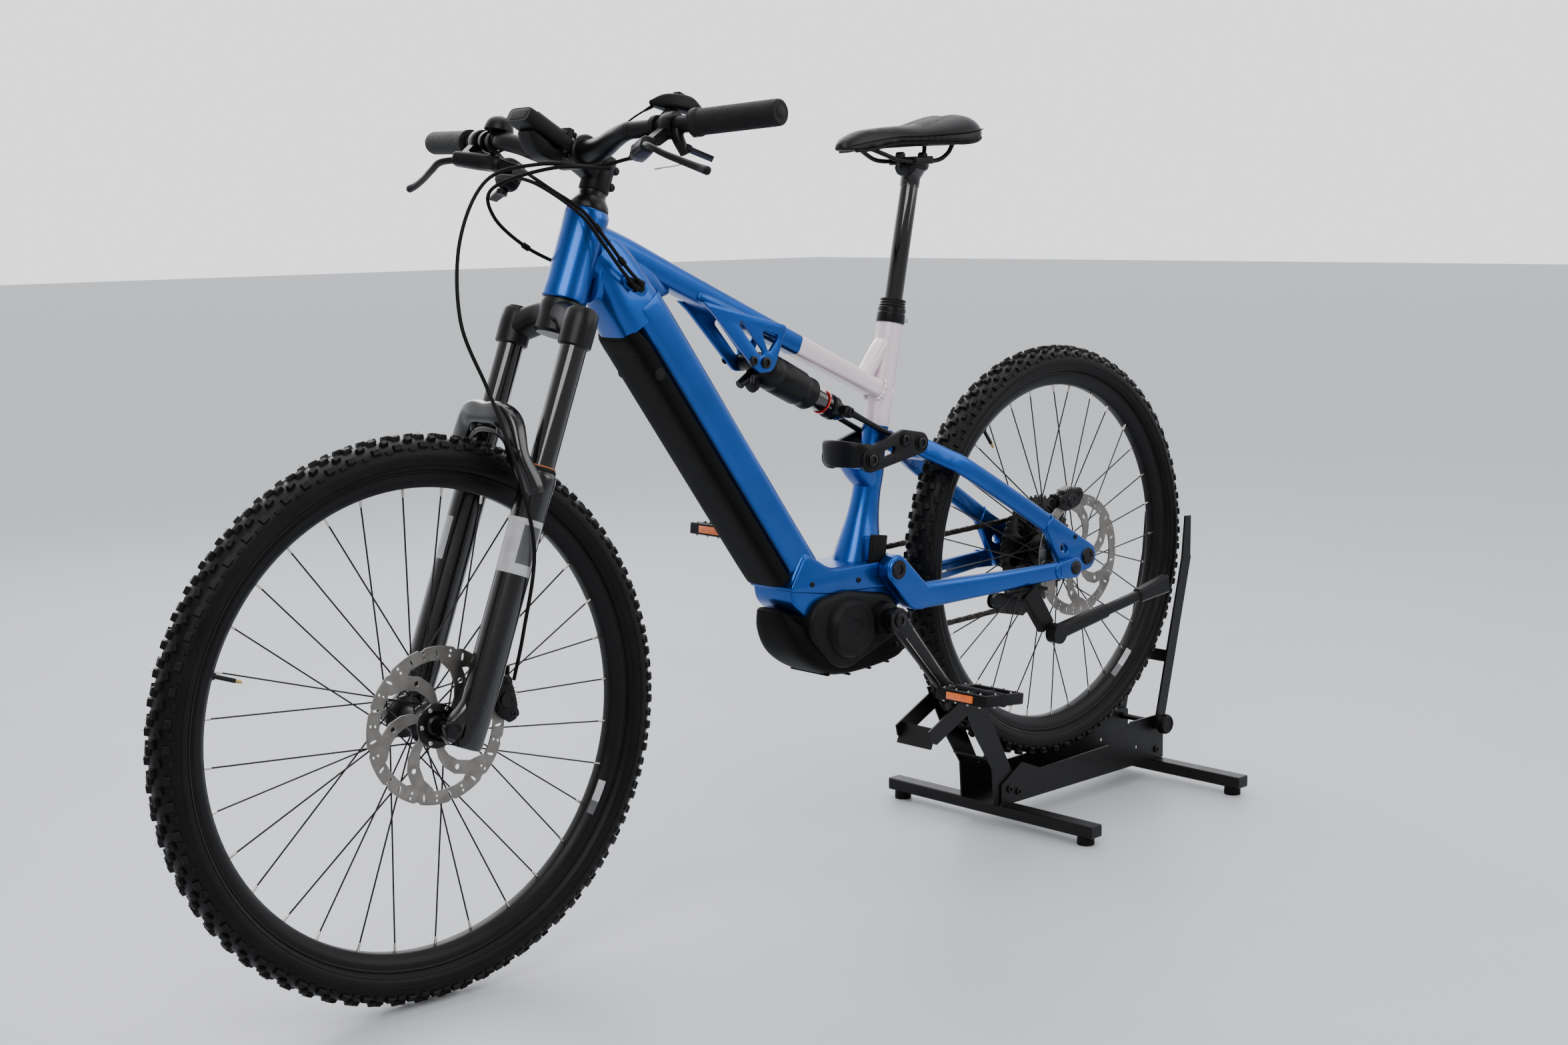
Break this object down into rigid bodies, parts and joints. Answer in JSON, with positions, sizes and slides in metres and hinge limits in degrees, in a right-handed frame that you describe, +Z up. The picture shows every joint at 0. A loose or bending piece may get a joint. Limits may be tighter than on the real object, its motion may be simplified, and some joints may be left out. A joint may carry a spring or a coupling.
{
  "type": "bicycle on stand",
  "caption": "Full-suspension electric mountain bike held upright by its rear wheel in a black tubular floor stand.",
  "frame": {"origin": "on the floor, below the middle of the whole object's box", "axes": "+Z up; the bicycle points along -X and the rider's left side faces -Y"},
  "size_m": [1.9826, 0.7662, 1.1542],
  "materials": {
    "frame_paint": "gloss metallic",
    "pearl_paint": "gloss pearl",
    "black_paint": "satin",
    "black_metal": "satin anodised",
    "steel": "satin",
    "chain_steel": "oiled",
    "plastic": "matte",
    "gloss_plastic": "gloss",
    "rubber": "matte",
    "tyre": "matte",
    "saddle_cover": "satin"
  },
  "bodies": {
    "stand": {"stand_front_bar": "black_paint", "stand_rear_bar": "black_paint", "stand_channel": "black_paint", "stand_cradle": "black_paint"},
    "arms": {"stand_arms": "black_paint"},
    "knob": {"stand_knob": "plastic"},
    "main_frame": {"frame": "frame_paint", "battery_cover": "plastic", "motor": "plastic", "skid_plate": "plastic", "charge_port_cover": "rubber", "seat_collar": "black_metal"},
    "chainstay": {"chainstay": "frame_paint", "main_pivot_axle": "black_metal", "kickstand_bracket": "black_metal", "chain": "chain_steel"},
    "seatstay": {"seatstay": "frame_paint", "rear_caliper": "black_metal", "derailleur": "black_metal"},
    "rear_wheel": {"rear_wheel": "black_metal", "rear_tyre": "tyre", "rear_rotor": "steel"},
    "cassette": {"cassette": "steel"},
    "derailleur_cage": {"derailleur_cage": "black_metal"},
    "kickstand": {"kickstand_leg": "black_metal"},
    "rocker": {"rocker": "black_metal"},
    "shock_body": {"shock_body": "black_metal"},
    "shock_shaft": {"shock_shaft": "black_metal"},
    "crank": {"crank_left": "black_metal", "crank_right": "black_metal", "chainring": "steel"},
    "pedal_left": {"pedal_left": "plastic"},
    "pedal_right": {"pedal_right": "plastic"},
    "seat": {"dropper_post": "black_metal", "saddle": "saddle_cover"},
    "steering": {"fork_upper": "black_paint", "stem": "black_metal", "handlebar": "black_metal", "grip_left": "rubber", "grip_right": "rubber", "brake_left": "black_metal", "brake_right": "black_metal", "shifter": "plastic", "control_pad": "plastic", "bell": "black_metal", "display": "gloss_plastic", "front_brake_hose": "rubber", "rear_brake_hose": "rubber", "shift_cable": "rubber", "dropper_cable": "rubber"},
    "fork_lowers": {"fork_lowers": "black_paint", "front_caliper": "black_metal"},
    "front_wheel": {"front_wheel": "black_metal", "front_tyre": "tyre", "front_rotor": "steel"},
    "brake_lever_left": {"brake_lever_left": "black_metal"},
    "brake_lever_right": {"brake_lever_right": "black_metal"},
    "shift_paddle": {"shift_paddle": "plastic"},
    "dropper_lever": {"dropper_lever": "black_metal"},
    "control_button": {"control_button": "rubber"}
  },
  "joints": [
    {"name": "arms_fold", "type": "hinge", "parent": "stand", "child": "arms", "pos_m": [0.8983, -0.0019, 0.1], "axis": [0, 1, 0], "range_deg": [0, 75]},
    {"name": "knob_turn", "type": "hinge", "parent": "stand", "child": "knob", "pos_m": [0.8983, -0.0469, 0.1], "axis": [0, -1, 0], "continuous": true},
    {"name": "lift_off_stand", "type": "slide", "parent": "stand", "child": "main_frame", "axis": [0, 0, 1], "range_m": [0, 0.25]},
    {"name": "chainstay_pivot", "type": "hinge", "parent": "main_frame", "child": "chainstay", "pos_m": [0.2003, -0.0019, 0.466], "axis": [0, -1, 0], "range_deg": [0, 15], "stiffness_Nm_per_rad": 1200, "springref_deg": -2.86, "deforming": ["chain"]},
    {"name": "seatstay_pivot", "type": "hinge", "parent": "chainstay", "child": "seatstay", "pos_m": [0.5973, -0.0019, 0.422], "axis": [0, -1, 0], "range_deg": [-8, 0.5]},
    {"name": "rocker_pivot", "type": "hinge", "parent": "main_frame", "child": "rocker", "pos_m": [0.1683, -0.0019, 0.634], "axis": [0, -1, 0], "range_deg": [-0.5, 36]},
    {"name": "shock_pivot", "type": "hinge", "parent": "main_frame", "child": "shock_body", "pos_m": [-0.0337, -0.0019, 0.791], "axis": [0, -1, 0], "range_deg": [-0.5, 5.5]},
    {"name": "shock_stroke", "type": "slide", "parent": "shock_body", "child": "shock_shaft", "axis": [-0.9009, 0, 0.434], "range_m": [-0.0005, 0.0405]},
    {"name": "rear_wheel_spin", "type": "hinge", "parent": "seatstay", "child": "rear_wheel", "pos_m": [0.6453, -0.0019, 0.434], "axis": [0, -1, 0], "continuous": true},
    {"name": "crank_spin", "type": "hinge", "parent": "main_frame", "child": "crank", "pos_m": [0.1763, -0.0019, 0.395], "axis": [0, -1, 0], "continuous": true},
    {"name": "cassette_spin", "type": "hinge", "parent": "seatstay", "child": "cassette", "pos_m": [0.6453, 0.0281, 0.434], "axis": [0, -1, 0], "continuous": true},
    {"name": "derailleur_cage_swing", "type": "hinge", "parent": "seatstay", "child": "derailleur_cage", "pos_m": [0.6383, 0.0541, 0.338], "axis": [0, 1, 0], "range_deg": [0, 25], "stiffness_Nm_per_rad": 1, "springref_deg": -20.05},
    {"name": "kickstand_fold", "type": "hinge", "parent": "chainstay", "child": "kickstand", "pos_m": [0.5213, -0.1139, 0.327], "axis": [0, 1, 0], "range_deg": [0, 90]},
    {"name": "pedal_left_spin", "type": "hinge", "parent": "crank", "child": "pedal_left", "pos_m": [0.28498, -0.0019, 0.27085], "axis": [0, -1, 0], "continuous": true},
    {"name": "pedal_right_spin", "type": "hinge", "parent": "crank", "child": "pedal_right", "pos_m": [0.06762, -0.0019, 0.51915], "axis": [0, -1, 0], "continuous": true},
    {"name": "dropper_slide", "type": "slide", "parent": "main_frame", "child": "seat", "axis": [0.2113, 0, 0.9774], "range_m": [-0.15, 0]},
    {"name": "steering", "type": "hinge", "parent": "main_frame", "child": "steering", "pos_m": [-0.3507, -0.0019, 0.949], "axis": [0.3584, 0, 0.9336], "range_deg": [-60, 60], "deforming": ["rear_brake_hose", "shift_cable", "dropper_cable"]},
    {"name": "fork_travel", "type": "slide", "parent": "steering", "child": "fork_lowers", "axis": [0.3584, 0, 0.9336], "range_m": [0, 0.145], "stiffness_N_per_m": 5000, "springref_m": -0.05, "deforming": ["front_brake_hose"]},
    {"name": "front_wheel_spin", "type": "hinge", "parent": "fork_lowers", "child": "front_wheel", "pos_m": [-0.62368, 0.0003, 0.36804], "axis": [-0.044, -0.9989, 0.0169], "continuous": true},
    {"name": "brake_lever_left_pull", "type": "hinge", "parent": "steering", "child": "brake_lever_left", "pos_m": [-0.39658, -0.20176, 1.08765], "axis": [0.3584, 0, 0.9336], "range_deg": [0, 16], "stiffness_Nm_per_rad": 1.5, "springref_deg": -11.46},
    {"name": "brake_lever_right_pull", "type": "hinge", "parent": "steering", "child": "brake_lever_right", "pos_m": [-0.37863, 0.20578, 1.08076], "axis": [-0.3584, 0, -0.9336], "range_deg": [0, 16], "stiffness_Nm_per_rad": 1.5, "springref_deg": -11.46},
    {"name": "shift_paddle_push", "type": "hinge", "parent": "steering", "child": "shift_paddle", "pos_m": [-0.33639, 0.17513, 1.03562], "axis": [0.3584, 0, 0.9336], "range_deg": [0, 20], "stiffness_Nm_per_rad": 0.5, "springref_deg": -11.46},
    {"name": "dropper_lever_push", "type": "hinge", "parent": "steering", "child": "dropper_lever", "pos_m": [-0.35563, -0.23166, 1.08371], "axis": [-0.3584, 0, -0.9336], "range_deg": [0, 20], "stiffness_Nm_per_rad": 0.5, "springref_deg": -11.46},
    {"name": "control_button_press", "type": "slide", "parent": "steering", "child": "control_button", "axis": [-0.3584, 0, -0.9336], "range_m": [0, 0.001], "stiffness_N_per_m": 1500, "springref_m": -0.001}
  ],
  "couplings": [
    {"joint": "seatstay_pivot", "follows": "chainstay_pivot", "ratio": -0.5},
    {"joint": "rocker_pivot", "follows": "chainstay_pivot", "ratio": 2.36},
    {"joint": "shock_pivot", "follows": "chainstay_pivot", "ratio": 0.33},
    {"joint": "shock_stroke", "follows": "chainstay_pivot", "m_per_rad": 0.152},
    {"joint": "cassette_spin", "follows": "crank_spin", "ratio": 1.343}
  ]
}
